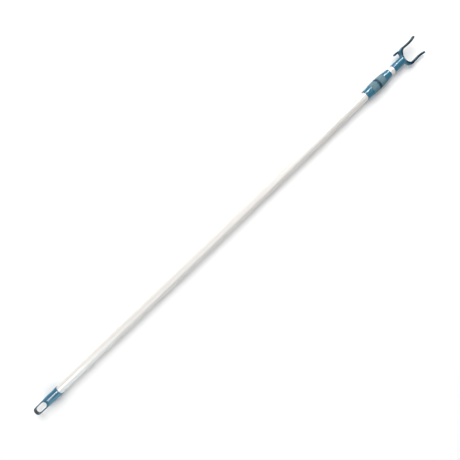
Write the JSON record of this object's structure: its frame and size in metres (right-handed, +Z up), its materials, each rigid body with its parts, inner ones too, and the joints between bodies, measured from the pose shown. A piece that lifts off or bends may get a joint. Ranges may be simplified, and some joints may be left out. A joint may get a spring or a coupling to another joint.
{
  "type": "boat hook",
  "caption": "Telescopic pole with a forked head, a small side hook, a twist-lock collar and an end cap with a hanging eye.",
  "frame": {"origin": "the middle of the closed pole's box, on the surface that it lies on", "axes": "+X along the pole towards the forked head, +Z up, +Y towards the raised prong and the side hook"},
  "size_m": [1.5, 0.06, 0.0324],
  "materials": {
    "blue_plastic": "gloss",
    "grip_rubber": "matte",
    "ring_rubber": "matte",
    "coated_tube": "satin",
    "nylon": "satin",
    "washer_steel": "satin",
    "rivet_metal": "satin"
  },
  "bodies": {
    "outer_pole": {"outer_tube": "coated_tube", "end_cap": "blue_plastic", "cap_rivet": "rivet_metal", "collar_body": "blue_plastic", "lower_grip": "grip_rubber", "seal_ring": "ring_rubber", "stop_sleeve": "nylon"},
    "clamp": {"collet": "nylon"},
    "nut": {"collar_nut": "blue_plastic", "nut_grip": "grip_rubber", "thrust_washer": "washer_steel"},
    "guide": {"guide_ring": "nylon"},
    "inner_pole": {"inner_tube": "coated_tube", "guide_plug": "nylon", "fork_head": "blue_plastic", "head_rivet": "rivet_metal"}
  },
  "joints": [
    {"name": "extend", "type": "slide", "parent": "outer_pole", "child": "guide", "axis": [1, 0, 0], "range_m": [-0.011, 1.1]},
    {"name": "head_swivel", "type": "hinge", "parent": "guide", "child": "inner_pole", "pos_m": [0, 0, 0.0162], "axis": [1, 0, 0], "continuous": true},
    {"name": "clamp_travel", "type": "slide", "parent": "outer_pole", "child": "clamp", "axis": [1, 0, 0], "range_m": [0, 0.0019]},
    {"name": "nut_turn", "type": "hinge", "parent": "clamp", "child": "nut", "pos_m": [0.615, 0, 0.0162], "axis": [1, 0, 0], "range_deg": [0, 270]}
  ],
  "couplings": [
    {"joint": "clamp_travel", "follows": "nut_turn", "m_per_rad": 0.00039789}
  ]
}
